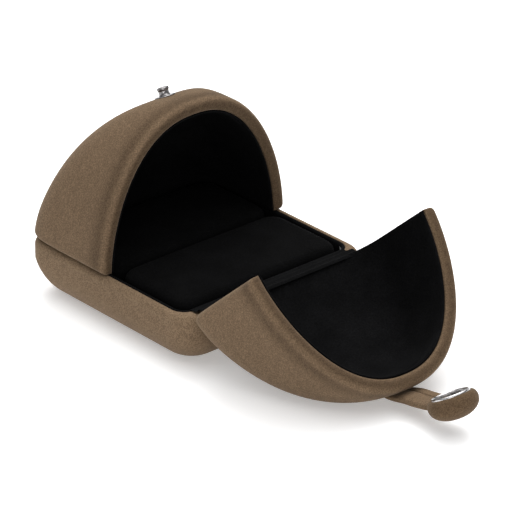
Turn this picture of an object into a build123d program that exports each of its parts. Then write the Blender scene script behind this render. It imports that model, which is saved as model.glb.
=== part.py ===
"""A domed two-door ring box: suede-covered base, two hinged half domes and a snap strap.

Millimetres. Z up, X along the hinges, origin under the middle of the base.
The rear door is shut and the front door lies open, as the box is shown.
"""
import math
import os

from build123d import *

os.makedirs("parts", exist_ok=True)

# ---- driving dimensions ------------------------------------------------------
# Base tray
base_half_width = 37.0
base_half_length = 39.2
base_height = 18.9
base_corner_radius = 12.0
base_bottom_round = 11.5
base_top_round = 2.2
base_side_wall = 2.4
base_end_wall = 5.2
pocket_corner_radius = 8.0
pocket_floor = 4.0
bottom_sheet_inset = 1.2
bottom_sheet_gap = 0.15

# Doors: each is half of a dome whose plan and arches are superellipses
door_overhang = 0.5
door_setback = 0.6
door_height = 48.0
plan_power = 8.0
arch_power = 2.32
side_power = 1.75
rim_round = 2.6
foot_round = 2.0
dome_end = 0.992
seat_gap = 0.3
door_gap = 0.25

# Layers, from the outside in
suede = 0.8
glue_gap = 0.05
door_core_wall = 2.6
door_liner_wall = 1.4
base_liner_wall = 1.4

# Ring pads and their board
pad_board_thickness = 1.2
pad_side_gap = 0.8
pad_slot = 1.0
pad_rise = 1.8
pad_crown = 0.6
pad_side_draw = 0.5
pad_corner_radius = 6.0
pad_edge_round = 1.8

# Hinges
hinge_inset = 0.2
hinge_rise = 0.35
hinge_length = 50.0
knuckle_count = 5
knuckle_radius = 1.1
knuckle_gap = 0.1
pin_radius = 0.5
pin_clearance = 0.05
leaf_thickness = 0.8
leaf_drop = 8.0
groove_clearance = 0.3
rivet_count = 3
rivet_pitch = 18.0
rivet_head_radius = 1.1
rivet_head_height = 0.4
rivet_shank_radius = 0.6
rivet_shank_length = 1.2
rivet_clearance = 0.05
lining_thickness = 0.6
lining_half_width = 27.5
lining_gap = 0.15
lining_bend_radius = 1.5
lining_bend_start = 2.2
open_angle = 138.3

# Snap and strap
stud_reach = 14.8
stud_flange_radius = 3.0
stud_flange_height = 0.5
stud_flange_sink = 0.15
stud_neck_radius = 1.35
stud_neck_height = 1.6
stud_head_radius = 1.85
stud_head_height = 1.6
stud_head_round = 0.5
stud_dimple_radius = 0.9
stud_shank_radius = 0.9
stud_fit = 0.05
washer_radius = 3.4
washer_thickness = 0.6
washer_depth = 1.6
socket_radius = 6.2
socket_rim_height = 1.15
socket_rim_round = 0.5
socket_mouth_radius = 3.1
socket_wall = 0.4
socket_depth = 3.4
socket_clearance = 0.4
socket_proud = 0.5
spring_wire_radius = 0.3
spring_height = 1.4
cap_radius = 8.2
cap_height = 4.3
cap_edge_height = 1.5
cap_foot_radius = 7.4
strap_half_width = 5.0
strap_thickness = 2.8
strap_end_radius = 7.2
strap_pivot_drop = 0.2
strap_lift = 38.0
strap_root_reach = 8.5
strap_root_angle = 110.0
strap_tongue_angle = 98.0
strap_inner_radius = 1.2
strap_tuck_depth = 1.0
strap_tuck_width = 0.8
strap_fit = 0.3

# ---- places worked out from the sizes ------------------------------------------
pocket_half_width = base_half_width - base_side_wall
pocket_half_length = base_half_length - base_end_wall
door_half_width = base_half_width + door_overhang
door_depth = base_half_length - door_setback
foot_z = base_height + seat_gap
door_y = door_gap / 2
hinge_y = door_y + door_depth - hinge_inset
hinge_z = base_height + hinge_rise
core_inset = suede + glue_gap
cavity_inset = core_inset + door_core_wall
liner_inset = cavity_inset + glue_gap
room_inset = liner_inset + door_liner_wall
hollow_overrun = 1.0
arch_samples = 8
dome_stations = 8


# ---- the dome ------------------------------------------------------------------
def dome_height_at(x, y, inset):
    """Height of a dome drawn in by inset, over the point x, y of its plan."""
    width_share = (abs(x) / (door_half_width - inset)) ** plan_power
    depth_share = (y / (door_depth - inset)) ** plan_power
    level = (width_share + depth_share) ** (arch_power / plan_power)
    return (door_height - inset) * max(0.0, 1 - level) ** (1 / side_power)


def dome_half_width_at(y, z, inset):
    """Half the width of the dome's slice at y, at the height z."""
    level = 1 - (z / (door_height - inset)) ** side_power
    share = level ** (plan_power / arch_power) - (y / (door_depth - inset)) ** plan_power
    return (door_half_width - inset) * share ** (1 / plan_power)


def rounding(distance, radius):
    """How far a rounded edge draws in, at a distance from its end."""
    if distance >= radius:
        return 0.0
    return radius - math.sqrt(radius**2 - (radius - distance) ** 2)


def dome_slice(y, inset, floor, edge_round, draw, overrun):
    """One arch across the dome, with its feet at floor or run on below it, for a loft."""
    shoulder = floor + edge_round
    depth = max(y, 0.0)
    half = dome_half_width_at(depth, shoulder, inset + draw)
    points = []
    for i in range(-arch_samples, arch_samples + 1):
        x = half * math.sin(math.radians(90 * i / arch_samples))
        points.append((x, dome_height_at(x, depth, inset + draw)))
    with BuildSketch(Plane.XZ.offset(-y)) as arch:
        with BuildLine():
            Spline(*points)
            if edge_round > 0:
                RadiusArc((half, shoulder), (half - edge_round, floor), edge_round)
                RadiusArc((edge_round - half, floor), (-half, shoulder), edge_round)
                Line((edge_round - half, floor), (half - edge_round, floor))
            else:
                Polyline(
                    (half, floor),
                    (half, floor - overrun),
                    (-half, floor - overrun),
                    (-half, floor),
                )
        make_face()
    return arch.sketch


def dome_places(start, end):
    """Where the slices stand along a dome, closer together towards its end."""
    turns = [math.radians(90 * k / dome_stations) for k in range(dome_stations + 1)]
    return [start + (end - start) * math.sin(turn) for turn in turns]


def half_dome(inset, front, front_round, edge_round):
    """A solid half dome behind the plane y = front, its feet as far up as its front is back."""
    end = (door_depth - inset) * dome_end
    places = [front + front_round * (1 - math.cos(math.radians(a))) for a in (0, 30, 60)]
    with BuildPart() as dome:
        for y in places + dome_places(front + front_round, end):
            draw = rounding(y - front, front_round)
            add(dome_slice(y, inset, front, edge_round, draw, 0))
        loft()
    return dome.part


def dome_hollow(inset, floor):
    """The room under a dome drawn in by inset, run on past its front and its feet."""
    end = (door_depth - inset) * dome_end
    with BuildPart() as room:
        for y in [-hollow_overrun] + dome_places(0, end):
            add(dome_slice(y, inset, floor, 0, 0, hollow_overrun))
        loft()
    return room.part


# ---- hinges ----------------------------------------------------------------------
knuckle_pitch = hinge_length / knuckle_count
base_leaf_low = hinge_z - knuckle_radius
base_leaf_y = pocket_half_length + glue_gap
door_leaf_high = hinge_z + knuckle_radius
door_leaf_y = door_y + (door_depth - cavity_inset) * dome_end + glue_gap
base_rivet_z = base_leaf_low - leaf_drop / 2
door_rivet_z = door_leaf_high + leaf_drop / 2
rivet_places = [(k - (rivet_count - 1) / 2) * rivet_pitch for k in range(rivet_count)]


def rivet_set(wall_y, height, clearance):
    """Flat-headed rivets into an end wall from inside the box, or their holes."""
    with BuildPart() as rivets:
        with BuildSketch(Plane.XZ.offset(-wall_y)):
            with Locations(*[(x, height) for x in rivet_places]):
                Circle(rivet_head_radius + clearance)
        extrude(amount=-(rivet_head_height + clearance))
        with BuildSketch(Plane.XZ.offset(-wall_y)):
            with Locations(*[(x, height) for x in rivet_places]):
                Circle(rivet_shank_radius + clearance)
        extrude(amount=-(leaf_thickness + rivet_shank_length + clearance))
    return rivets.part


def knuckle_set(on_base, radius, length):
    """Every other knuckle of the rear hinge, as plain rounds of a radius and length."""
    with BuildPart() as rounds:
        for k in range(knuckle_count):
            if (k % 2 == 0) == on_base:
                middle = (k - (knuckle_count - 1) / 2) * knuckle_pitch
                with BuildSketch(Plane.YZ.offset(middle - length / 2)):
                    with Locations((hinge_y, hinge_z)):
                        Circle(radius)
                extrude(amount=length)
    return rounds.part


def pin_rod(radius, length):
    """A round rod along the rear hinge's axis."""
    with BuildPart() as rod:
        with BuildSketch(Plane.YZ.offset(-length / 2)):
            with Locations((hinge_y, hinge_z)):
                Circle(radius)
        extrude(amount=length)
    return rod.part


def leaf_plate(wall_y, flat_z, upright_z, rivet_z):
    """A leaf from the hinge axis over the end wall and along its inner face."""
    with BuildPart() as plate:
        with BuildSketch(Plane.XY.offset(flat_z)):
            with Locations((0, (wall_y + hinge_y) / 2)):
                Rectangle(hinge_length, hinge_y - wall_y)
        extrude(amount=leaf_thickness)
        with BuildSketch(Plane.XY.offset(upright_z)):
            with Locations((0, wall_y + leaf_thickness / 2)):
                Rectangle(hinge_length, leaf_thickness)
        extrude(amount=leaf_drop + leaf_thickness)
        add(rivet_set(wall_y, rivet_z, rivet_clearance), mode=Mode.SUBTRACT)
    return plate.part


def hinge_leaf(plate, on_base):
    """A leaf with its own knuckles, cut away round the other leaf's."""
    with BuildPart() as leaf:
        add(plate)
        add(
            knuckle_set(not on_base, knuckle_radius + knuckle_gap, knuckle_pitch + knuckle_gap),
            mode=Mode.SUBTRACT,
        )
        add(knuckle_set(on_base, knuckle_radius, knuckle_pitch - knuckle_gap))
        add(pin_rod(pin_radius + pin_clearance, 2 * hinge_length), mode=Mode.SUBTRACT)
    return leaf.part


with BuildPart() as rear_hinge_base_leaf:
    add(
        hinge_leaf(
            leaf_plate(base_leaf_y, base_leaf_low, base_leaf_low - leaf_drop, base_rivet_z),
            True,
        )
    )

with BuildPart() as rear_hinge_door_leaf:
    add(
        hinge_leaf(
            leaf_plate(
                door_leaf_y,
                door_leaf_high - leaf_thickness,
                door_leaf_high - leaf_thickness,
                door_rivet_z,
            ),
            False,
        )
    )

with BuildPart() as rear_hinge_pin:
    add(pin_rod(pin_radius, hinge_length))

with BuildPart() as rear_hinge_base_rivets:
    add(rivet_set(base_leaf_y, base_rivet_z, 0))

with BuildPart() as rear_hinge_door_rivets:
    add(rivet_set(door_leaf_y, door_rivet_z, 0))


def hinge_groove(y, z):
    """Room round one hinge axis for its knuckles, where the walls meet."""
    with BuildPart() as groove:
        with BuildSketch(Plane.YZ.offset(-hinge_length / 2 - groove_clearance)):
            with Locations((y, z)):
                Circle(knuckle_radius + groove_clearance)
        extrude(amount=hinge_length + 2 * groove_clearance)
    return groove.part


def leaf_room(wall_y, low, high, upright_low, upright_high):
    """Room in an end wall for a leaf, open to the inside and to the seam."""
    half = hinge_length / 2 + groove_clearance
    back = wall_y + leaf_thickness + glue_gap
    front = wall_y - door_liner_wall
    with BuildPart() as room:
        with BuildSketch(Plane.XY.offset(low)):
            with Locations((0, (front + hinge_y) / 2)):
                Rectangle(2 * half, hinge_y - front)
        extrude(amount=high - low)
        with BuildSketch(Plane.XY.offset(upright_low)):
            with Locations((0, (front + back) / 2)):
                Rectangle(2 * half, back - front)
        extrude(amount=upright_high - upright_low)
    return room.part


rear_base_cuts = [
    hinge_groove(hinge_y, hinge_z),
    leaf_room(
        base_leaf_y,
        base_leaf_low - glue_gap,
        base_height + glue_gap,
        base_leaf_low - leaf_drop - glue_gap,
        base_height + glue_gap,
    ),
    rivet_set(base_leaf_y, base_rivet_z, rivet_clearance),
]
base_cuts = rear_base_cuts + [mirror(cut, about=Plane.XZ) for cut in rear_base_cuts]
door_cuts = [
    hinge_groove(hinge_y, hinge_z),
    leaf_room(
        door_leaf_y,
        foot_z - glue_gap,
        door_leaf_high + glue_gap,
        foot_z - glue_gap,
        door_leaf_high + leaf_drop + glue_gap,
    ),
    rivet_set(door_leaf_y, door_rivet_z, rivet_clearance),
]


# ---- base ----------------------------------------------------------------------
def base_block(inset):
    """The rounded outside of the base, drawn in by inset."""
    with BuildPart() as block:
        with BuildSketch(Plane.XY.offset(inset)):
            RectangleRounded(
                2 * (base_half_width - inset),
                2 * (base_half_length - inset),
                base_corner_radius - inset,
            )
        extrude(amount=base_height - 2 * inset)
        fillet(block.faces().sort_by(Axis.Z)[0].edges(), base_bottom_round - inset)
        fillet(block.faces().sort_by(Axis.Z)[-1].edges(), max(base_top_round - inset, 0.2))
    return block.part


def pocket_block(inset, floor, top):
    """The room inside the base, drawn in by inset, from floor to top."""
    with BuildPart() as room:
        with BuildSketch(Plane.XY.offset(floor)):
            RectangleRounded(
                2 * (pocket_half_width - inset),
                2 * (pocket_half_length - inset),
                pocket_corner_radius - inset,
            )
        extrude(amount=top - floor)
    return room.part


sheet_half_width = base_half_width - base_bottom_round - bottom_sheet_inset
sheet_half_length = base_half_length - base_bottom_round - bottom_sheet_inset

with BuildPart() as base_core:
    add(base_block(core_inset))
    add(pocket_block(0, pocket_floor, base_height), mode=Mode.SUBTRACT)
    add(base_cuts, mode=Mode.SUBTRACT)

with BuildPart() as base_suede_cover:
    add(base_block(0))
    add(base_block(suede), mode=Mode.SUBTRACT)
    add(pocket_block(0, pocket_floor, base_height), mode=Mode.SUBTRACT)
    with BuildSketch():
        Rectangle(
            2 * (sheet_half_width + bottom_sheet_gap),
            2 * (sheet_half_length + bottom_sheet_gap),
        )
    extrude(amount=core_inset, mode=Mode.SUBTRACT)
    add(base_cuts, mode=Mode.SUBTRACT)

with BuildPart() as base_bottom_sheet:
    with BuildSketch():
        Rectangle(2 * sheet_half_width, 2 * sheet_half_length)
    extrude(amount=suede)

with BuildPart() as base_liner:
    add(pocket_block(glue_gap, pocket_floor + glue_gap, base_height))
    add(
        pocket_block(
            glue_gap + base_liner_wall,
            pocket_floor + glue_gap + base_liner_wall,
            base_height,
        ),
        mode=Mode.SUBTRACT,
    )

# ---- ring pads -------------------------------------------------------------------
board_z = pocket_floor + base_liner_wall + 2 * glue_gap
pad_z = board_z + pad_board_thickness + glue_gap
pad_top = base_height + pad_rise
pad_half_width = pocket_half_width - base_liner_wall - pad_side_gap
pad_end = pocket_half_length - base_liner_wall - pad_side_gap / 2
pad_length = pad_end - pad_slot / 2

with BuildPart() as pad_board:
    add(pocket_block(base_liner_wall + 2 * glue_gap, board_z, board_z + pad_board_thickness))


def ring_pad(side):
    """One foam pad: crowned on top, its sides drawn in a little between the corners."""
    middle = side * (pad_slot / 2 + pad_length / 2)
    half_length = pad_length / 2
    corners = [
        (-pad_half_width, middle - half_length),
        (pad_half_width, middle - half_length),
        (pad_half_width, middle + half_length),
        (-pad_half_width, middle + half_length),
    ]
    drawn = [
        (0, middle - half_length + pad_side_draw),
        (pad_half_width - pad_side_draw, middle),
        (0, middle + half_length - pad_side_draw),
        (pad_side_draw - pad_half_width, middle),
    ]
    crown_radius = (pad_half_width**2 + pad_crown**2) / (2 * pad_crown)
    with BuildPart() as pad:
        with BuildSketch(Plane.XY.offset(pad_z)):
            with BuildLine():
                for k in range(4):
                    ThreePointArc(corners[k], drawn[k], corners[(k + 1) % 4])
            make_face()
        extrude(amount=pad_top - pad_z)
        fillet(pad.edges().filter_by(Axis.Z), pad_corner_radius)
        with BuildSketch(Plane.XZ.offset(-middle)):
            with Locations((0, pad_top - crown_radius)):
                Circle(crown_radius)
        extrude(amount=pad_length, both=True, mode=Mode.INTERSECT)
        fillet(pad.faces().sort_by(Axis.Z)[-1].edges(), pad_edge_round)
    return pad.part


with BuildPart() as ring_pad_front:
    add(ring_pad(-1))

with BuildPart() as ring_pad_rear:
    add(ring_pad(1))


# ---- doors -----------------------------------------------------------------------
closed_place = Pos(0, door_y, foot_z)
dome_outside = closed_place * half_dome(0, 0, rim_round, foot_round)
dome_under_suede = closed_place * half_dome(
    suede, suede, rim_round - suede, foot_round - suede
)
dome_core = closed_place * half_dome(
    core_inset, core_inset, rim_round - core_inset, foot_round - core_inset
)
dome_cavity = closed_place * dome_hollow(cavity_inset, 0)
dome_liner = closed_place * dome_hollow(liner_inset, 0)
dome_room = closed_place * dome_hollow(room_inset, 0)


def dome_wrap(clear):
    """A block behind and above the planes of a shut door's rim and feet, set back by clear."""
    with BuildPart() as wrap:
        with BuildSketch(Plane.XY.offset(foot_z + clear)):
            with Locations((0, door_y + clear + door_depth / 2)):
                Rectangle(3 * door_half_width, door_depth)
        extrude(amount=2 * door_height)
    return wrap.part


def door_skin():
    """The suede over one shut door: its outside, its rim and the edges of its feet."""
    with BuildPart() as skin:
        add(dome_outside)
        add(dome_under_suede, mode=Mode.SUBTRACT)
        add(dome_cavity, mode=Mode.SUBTRACT)
        add(door_cuts, mode=Mode.SUBTRACT)
    return skin.part


def door_shell():
    """The moulded shell of one shut door."""
    with BuildPart() as shell:
        add(dome_core)
        add(dome_cavity, mode=Mode.SUBTRACT)
        add(door_cuts, mode=Mode.SUBTRACT)
    return shell.part


def door_lining():
    """The velvet-covered lining inside one shut door."""
    with BuildPart() as lining:
        add(dome_liner)
        add(dome_room, mode=Mode.SUBTRACT)
        add(dome_wrap(suede), mode=Mode.INTERSECT)
    return lining.part


# ---- snap and strap ----------------------------------------------------------------
surface_step = 0.01
stud_z = foot_z + dome_height_at(0, stud_reach - door_y, 0)
stud_fall = dome_height_at(0, stud_reach - door_y, 0) - dome_height_at(
    0, stud_reach - door_y + surface_step, 0
)
stud_tilt = math.atan2(stud_fall, surface_step)
stud_normal = (0, math.sin(stud_tilt), math.cos(stud_tilt))
stud_plane = Plane(origin=(0, stud_reach, stud_z), x_dir=(1, 0, 0), z_dir=stud_normal)
flange_top = stud_flange_height - stud_flange_sink
neck_top = flange_top + stud_neck_height
head_top = neck_top + stud_head_height
washer_top = -core_inset - washer_depth
socket_face = flange_top + socket_clearance
socket_back = socket_face + socket_depth + socket_wall
strap_face = socket_face + socket_proud
strap_back = strap_face + strap_thickness
cap_face = strap_back + glue_gap
strap_pivot_z = foot_z + door_height - strap_pivot_drop
strap_outer_radius = strap_inner_radius + strap_thickness

stud_turned = Plane(
    origin=stud_plane.origin,
    x_dir=(0, stud_normal[2], -stud_normal[1]),
    z_dir=stud_normal,
)
stud_section = Plane(
    origin=stud_plane.origin,
    x_dir=(1, 0, 0),
    z_dir=(0, -stud_normal[2], stud_normal[1]),
)


def rounds_on_stud(steps):
    """Rounds stacked on the stud's axis, each given as radius, low and high."""
    with BuildPart() as stack:
        for radius, low, high in steps:
            with BuildSketch(stud_turned.offset(low)):
                Circle(radius)
            extrude(amount=high - low)
    return stack.part


def stud_point(along, height):
    """A point in the box's YZ plane, from its place along the stud's seat and above it."""
    place = stud_plane.from_local_coords((0, along, height))
    return (place.Y, place.Z)


def pivot_point(radius, angle):
    """A point in the box's YZ plane, at a radius and angle round the strap's bend."""
    turn = math.radians(angle)
    return (radius * math.cos(turn), strap_pivot_z + radius * math.sin(turn))


stud_cuts = rounds_on_stud(
    [
        (stud_flange_radius + stud_fit, -stud_flange_sink - stud_fit, flange_top),
        (stud_shank_radius + stud_fit, washer_top - 1, 0),
        (washer_radius + stud_fit, 2 * washer_top, washer_top),
    ]
)

with BuildPart() as snap_stud:
    with BuildSketch(stud_plane.offset(neck_top)):
        Circle(stud_head_radius)
    extrude(amount=stud_head_height)
    fillet(snap_stud.edges().filter_by(GeomType.CIRCLE), stud_head_round)
    with Locations(stud_plane.offset(head_top)):
        Sphere(stud_dimple_radius, mode=Mode.SUBTRACT)
    add(
        rounds_on_stud(
            [
                (stud_neck_radius, flange_top, neck_top),
                (stud_flange_radius, -stud_flange_sink, flange_top),
                (stud_shank_radius, washer_top - washer_thickness, -stud_flange_sink),
            ]
        )
    )

with BuildPart() as snap_stud_washer:
    add(rounds_on_stud([(washer_radius, washer_top - washer_thickness, washer_top)]))
    add(
        rounds_on_stud([(stud_shank_radius + stud_fit, 2 * washer_top, 0)]),
        mode=Mode.SUBTRACT,
    )

tongue_cuts = rounds_on_stud(
    [
        (socket_radius + stud_fit, 0, socket_face + socket_rim_height + stud_fit),
        (socket_mouth_radius + socket_wall + stud_fit, 0, strap_back + 1),
    ]
)

with BuildPart() as snap_socket:
    with BuildSketch(stud_plane.offset(socket_face)):
        Circle(socket_radius)
    extrude(amount=socket_rim_height)
    fillet(snap_socket.edges().filter_by(GeomType.CIRCLE), socket_rim_round)
    add(
        rounds_on_stud(
            [
                (
                    socket_mouth_radius + socket_wall,
                    socket_face + socket_rim_height / 2,
                    socket_back,
                )
            ]
        )
    )
    add(
        rounds_on_stud([(socket_mouth_radius, 0, socket_face + socket_depth)]),
        mode=Mode.SUBTRACT,
    )

with BuildPart() as snap_socket_spring:
    with Locations(stud_plane.offset(socket_face + spring_height)):
        Torus(socket_mouth_radius - spring_wire_radius - stud_fit / 2, spring_wire_radius)

with BuildPart() as strap_tongue:
    with BuildSketch(Plane.YZ.offset(-strap_half_width)):
        with BuildLine():
            Polyline(
                pivot_point(strap_inner_radius, strap_tongue_angle - strap_lift),
                stud_point(-strap_end_radius, strap_face),
                stud_point(0, strap_face),
                stud_point(0, strap_back),
                stud_point(-strap_end_radius, strap_back),
                pivot_point(strap_outer_radius, strap_tongue_angle - strap_lift),
                close=True,
            )
        make_face()
    extrude(amount=2 * strap_half_width)
    add(rounds_on_stud([(strap_end_radius, strap_face, strap_back)]))
    add(tongue_cuts, mode=Mode.SUBTRACT)


def cap_dome(inset):
    """The button's domed body, drawn in by inset, standing on the strap's back."""
    foot = cap_foot_radius - inset
    edge = cap_radius - inset
    shoulder = cap_face + 2 * cap_edge_height
    rise = cap_height - 2 * cap_edge_height - inset
    top = shoulder + rise
    crown_radius = (foot**2 + rise**2) / (2 * rise)
    half_turn = math.asin(foot / crown_radius) / 2
    crown_middle = (
        crown_radius * math.sin(half_turn),
        top - crown_radius * (1 - math.cos(half_turn)),
    )
    with BuildPart() as dome:
        with BuildSketch(stud_section):
            with BuildLine():
                ThreePointArc(
                    (foot, cap_face),
                    (edge, cap_face + cap_edge_height),
                    (foot, shoulder),
                )
                ThreePointArc((foot, shoulder), crown_middle, (0, top))
                Polyline((0, top), (0, cap_face), (foot, cap_face))
            make_face()
        revolve(axis=Axis(stud_plane.origin, stud_plane.z_dir))
    return dome.part


socket_room = rounds_on_stud(
    [(socket_mouth_radius + socket_wall + stud_fit, 0, socket_back + stud_fit)]
)

with BuildPart() as cap_button:
    add(cap_dome(suede))
    add(socket_room, mode=Mode.SUBTRACT)

with BuildPart() as cap_suede_cover:
    add(cap_dome(0))
    add(cap_dome(suede - glue_gap), mode=Mode.SUBTRACT)

root_back_z = foot_z + dome_height_at(0, strap_root_reach - door_y, 0)

with BuildPart() as strap_root:
    with BuildSketch(Plane.YZ.offset(-strap_half_width)):
        with BuildLine():
            Polyline(
                pivot_point(strap_inner_radius, strap_root_angle),
                pivot_point(strap_outer_radius, strap_root_angle),
                (-strap_root_reach, root_back_z + strap_tuck_width),
                (-strap_root_reach, root_back_z + strap_fit),
                close=True,
            )
        make_face()
    extrude(amount=2 * strap_half_width)
    with BuildSketch(Plane.XY.offset(root_back_z - strap_tuck_depth)):
        with Locations((0, -strap_root_reach + strap_tuck_width / 2)):
            Rectangle(2 * strap_half_width, strap_tuck_width)
    extrude(amount=strap_tuck_depth + strap_tuck_width)

with BuildPart() as strap_slit:
    with BuildSketch(Plane.XY.offset(root_back_z - strap_tuck_depth - strap_fit)):
        with Locations((0, -strap_root_reach + strap_tuck_width / 2)):
            Rectangle(
                2 * (strap_half_width + strap_fit),
                strap_tuck_width + 2 * strap_fit,
            )
    extrude(amount=door_height)

# ---- the two doors ------------------------------------------------------------------
shut_skin = door_skin()
shut_shell = door_shell()

with BuildPart() as rear_door_core:
    add(shut_shell)
    add(stud_cuts, mode=Mode.SUBTRACT)

with BuildPart() as rear_door_suede_cover:
    add(shut_skin)
    add(stud_cuts, mode=Mode.SUBTRACT)

with BuildPart() as rear_door_liner:
    add(door_lining())

with BuildPart() as front_door_core:
    add(mirror(shut_shell, about=Plane.XZ))
    add(strap_slit.part, mode=Mode.SUBTRACT)

with BuildPart() as front_door_suede_cover:
    add(mirror(shut_skin, about=Plane.XZ))
    add(strap_slit.part, mode=Mode.SUBTRACT)


# ---- hinge linings --------------------------------------------------------------------
def about_hinge(along, up, turn):
    """A YZ point from the front hinge's axis, turned with the door by an angle."""
    a = math.radians(turn)
    y = along * math.cos(a) - up * math.sin(a)
    z = along * math.sin(a) + up * math.cos(a)
    return (y - hinge_y, z + hinge_z)


def lining_edge(lift):
    """The front lining's path from base to door, over the knuckles, raised by lift."""
    base_level = base_height - hinge_z + lining_gap + lift
    door_level = foot_z - hinge_z - lining_gap - lift
    reach = hinge_y - pocket_half_length + base_liner_wall
    return [
        about_hinge(reach, base_level, 0),
        about_hinge(lining_bend_start, base_level, 0),
        about_hinge(lining_bend_radius + lift, 0, open_angle / 2),
        about_hinge(lining_bend_start, door_level, open_angle),
        about_hinge(reach - base_liner_wall, door_level, open_angle),
    ]


with BuildPart() as front_hinge_lining:
    with BuildSketch(Plane.YZ.offset(-lining_half_width)):
        with BuildLine():
            Polyline(
                *lining_edge(0),
                *reversed(lining_edge(lining_thickness)),
                close=True,
            )
        make_face()
    extrude(amount=2 * lining_half_width)

with BuildPart() as rear_hinge_lining:
    with BuildSketch(Plane.XY.offset(base_height + lining_gap)):
        with Locations((0, pocket_half_length - base_liner_wall / 2)):
            Rectangle(2 * lining_half_width, lining_thickness)
    extrude(amount=seat_gap + suede - 2 * lining_gap)

# ---- the pieces where they lie ----------------------------------------------------------
front_open = (
    Pos(0, -hinge_y, hinge_z) * Rot(open_angle, 0, 0) * Pos(0, hinge_y, -hinge_z)
)
strap_raised = (
    front_open
    * Pos(0, 0, strap_pivot_z)
    * Rot(strap_lift, 0, 0)
    * Pos(0, 0, -strap_pivot_z)
)


def front_copy(part):
    """The front hinge's twin of a rear piece, with the front door shut."""
    return mirror(part, about=Plane.XZ)


pieces = {
    "base_core": base_core.part,
    "base_suede_cover": base_suede_cover.part,
    "base_bottom_sheet": base_bottom_sheet.part,
    "base_liner": base_liner.part,
    "pad_board": pad_board.part,
    "ring_pad_front": ring_pad_front.part,
    "ring_pad_rear": ring_pad_rear.part,
    "rear_hinge_base_leaf": rear_hinge_base_leaf.part,
    "rear_hinge_base_rivets": rear_hinge_base_rivets.part,
    "rear_hinge_pin": rear_hinge_pin.part,
    "rear_hinge_door_leaf": rear_hinge_door_leaf.part,
    "rear_hinge_door_rivets": rear_hinge_door_rivets.part,
    "rear_hinge_lining": rear_hinge_lining.part,
    "rear_door_core": rear_door_core.part,
    "rear_door_suede_cover": rear_door_suede_cover.part,
    "rear_door_liner": rear_door_liner.part,
    "snap_stud": snap_stud.part,
    "snap_stud_washer": snap_stud_washer.part,
    "front_hinge_base_leaf": front_copy(rear_hinge_base_leaf.part),
    "front_hinge_base_rivets": front_copy(rear_hinge_base_rivets.part),
    "front_hinge_pin": front_copy(rear_hinge_pin.part),
    "front_hinge_lining": front_hinge_lining.part,
    "front_hinge_door_leaf": front_open * front_copy(rear_hinge_door_leaf.part),
    "front_hinge_door_rivets": front_open * front_copy(rear_hinge_door_rivets.part),
    "front_door_core": front_open * front_door_core.part,
    "front_door_suede_cover": front_open * front_door_suede_cover.part,
    "front_door_liner": front_open * front_copy(rear_door_liner.part),
    "strap_root": front_open * strap_root.part,
    "strap_tongue": strap_raised * strap_tongue.part,
    "snap_socket": strap_raised * snap_socket.part,
    "snap_socket_spring": strap_raised * snap_socket_spring.part,
    "cap_button": strap_raised * cap_button.part,
    "cap_suede_cover": strap_raised * cap_suede_cover.part,
}

for name, piece in pieces.items():
    piece.label = name
    export_step(piece, f"parts/{name}.step")
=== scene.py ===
"""Looks of the domed ring box: suede and velvet skins, pads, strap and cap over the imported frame."""

import math

import bmesh
import bpy
import numpy as np
from mathutils import Matrix, Vector


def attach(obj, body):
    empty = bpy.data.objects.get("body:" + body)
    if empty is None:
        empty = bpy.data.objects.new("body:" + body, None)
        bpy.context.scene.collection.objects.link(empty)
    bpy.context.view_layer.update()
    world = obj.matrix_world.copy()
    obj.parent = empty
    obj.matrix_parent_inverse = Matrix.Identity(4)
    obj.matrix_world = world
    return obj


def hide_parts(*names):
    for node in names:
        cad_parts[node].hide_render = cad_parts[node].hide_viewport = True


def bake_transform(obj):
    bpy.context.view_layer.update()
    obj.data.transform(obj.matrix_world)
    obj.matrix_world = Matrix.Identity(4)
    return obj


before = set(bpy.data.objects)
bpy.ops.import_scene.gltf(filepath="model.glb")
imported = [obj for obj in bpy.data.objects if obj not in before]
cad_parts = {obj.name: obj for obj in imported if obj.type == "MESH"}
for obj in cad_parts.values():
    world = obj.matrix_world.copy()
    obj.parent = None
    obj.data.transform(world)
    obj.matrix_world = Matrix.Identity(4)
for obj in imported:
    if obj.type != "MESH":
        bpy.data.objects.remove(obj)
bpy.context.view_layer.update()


# ---- sizes of the box, in millimetres, and angles in degrees -----------------------
BASE_HALF = (37.5, 39.2)
BASE_HEIGHT = 18.9
# radius of the base's plan corners at the bottom and above the bottom round
BASE_CORNER = (13.2, 8.0)
BASE_BOTTOM_ROUND = 12.2
BASE_TOP_ROUND = 2.2
POCKET_HALF = (35.1, 34.3)
POCKET_CORNER = 5.2
# half width, depth and height of one half dome
DOME = (37.9, 38.6, 48.0)
# power of the dome's plan at the crown, and what it gains towards the sides and at the feet
CROWN_POWER = 3.5
SIDE_GAIN = 4.5
FOOT_GAIN = 3.2
# powers of the arch across and of its height
ARCH_POWER = 2.32
SIDE_POWER = 1.75
FOOT_Z = 19.2
DOOR_Y = 0.125
HINGE_Y = 38.525
HINGE_Z = 19.25
OPEN_ANGLE = 138.3


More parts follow.
